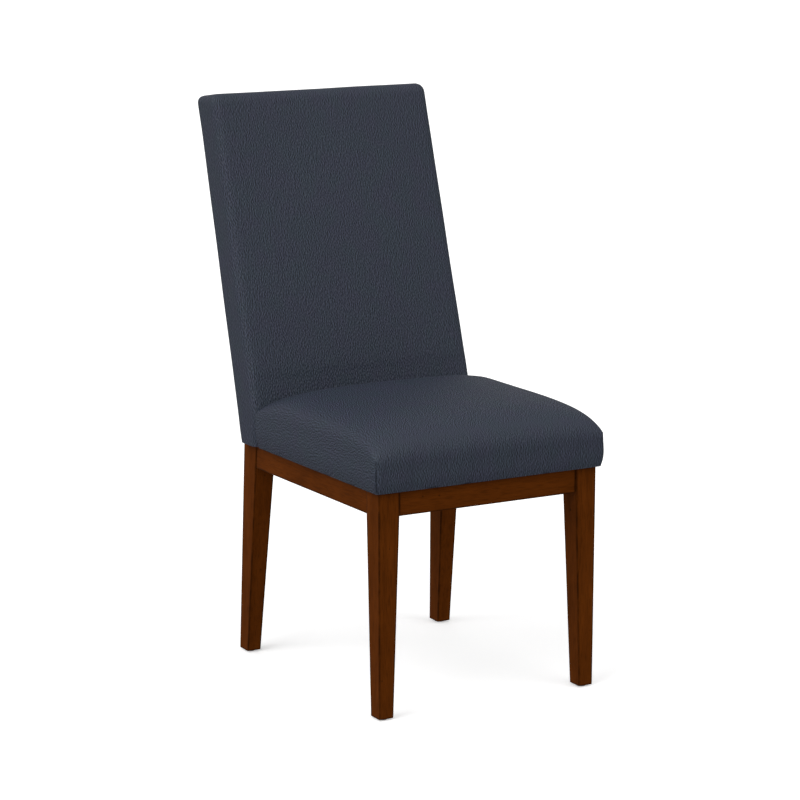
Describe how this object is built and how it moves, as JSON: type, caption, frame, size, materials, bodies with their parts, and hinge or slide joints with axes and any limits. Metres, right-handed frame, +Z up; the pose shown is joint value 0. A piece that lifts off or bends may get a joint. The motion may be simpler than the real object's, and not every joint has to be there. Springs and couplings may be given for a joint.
{
  "type": "parsons chair",
  "caption": "Armless dining chair with a crowned leather seat, a tall raked leather back and tapered wooden legs joined by rails.",
  "frame": {"origin": "on the floor under the middle of the chair's box", "axes": "+Z up, -Y towards the front of the seat, +X to the sitter's left"},
  "size_m": [0.458, 0.6736, 1.0088],
  "materials": {
    "wood": "satin dark reddish-brown stain",
    "inner_wood": "bare sawn hardwood",
    "leather": "semi-matte pebbled dark slate blue",
    "foam": "cream upholstery foam and wadding",
    "webbing": "woven tan webbing",
    "lining": "matte black lining",
    "steel": "plain zinc plated",
    "plastic": "dark brown moulded"
  },
  "bodies": {
    "root": {"front_leg_left": "wood", "rear_leg_left": "wood", "side_rail_left": "wood", "front_leg_right": "wood", "rear_leg_right": "wood", "side_rail_right": "wood", "front_rail": "wood", "rear_rail": "wood", "corner_block_front_left": "inner_wood", "side_rail_screw_front_left": "steel", "front_rail_screw_left": "steel", "seat_screw_front_left": "steel", "glide_front_left": "plastic", "corner_block_front_right": "inner_wood", "side_rail_screw_front_right": "steel", "front_rail_screw_right": "steel", "seat_screw_front_right": "steel", "glide_front_right": "plastic", "corner_block_rear_left": "inner_wood", "side_rail_screw_rear_left": "steel", "rear_rail_screw_left": "steel", "seat_screw_rear_left": "steel", "glide_rear_left": "plastic", "corner_block_rear_right": "inner_wood", "side_rail_screw_rear_right": "steel", "rear_rail_screw_right": "steel", "seat_screw_rear_right": "steel", "glide_rear_right": "plastic", "seat_frame_left": "inner_wood", "seat_frame_right": "inner_wood", "seat_frame_front": "inner_wood", "seat_frame_rear": "inner_wood", "seat_cross_web_1": "webbing", "seat_cross_web_2": "webbing", "seat_cross_web_3": "webbing", "seat_long_web_1": "webbing", "seat_long_web_2": "webbing", "seat_long_web_3": "webbing", "seat_foam": "foam", "seat_cover": "leather", "seat_dust_cover": "lining", "back_bottom_rail": "inner_wood", "back_top_rail": "inner_wood", "back_cross_web_1": "webbing", "back_cross_web_2": "webbing", "back_cross_web_3": "webbing", "back_cross_web_4": "webbing", "back_long_web_1": "webbing", "back_long_web_2": "webbing", "back_foam": "foam", "back_wadding": "foam", "back_cover": "leather", "back_panel": "leather"}
  },
  "joints": []
}
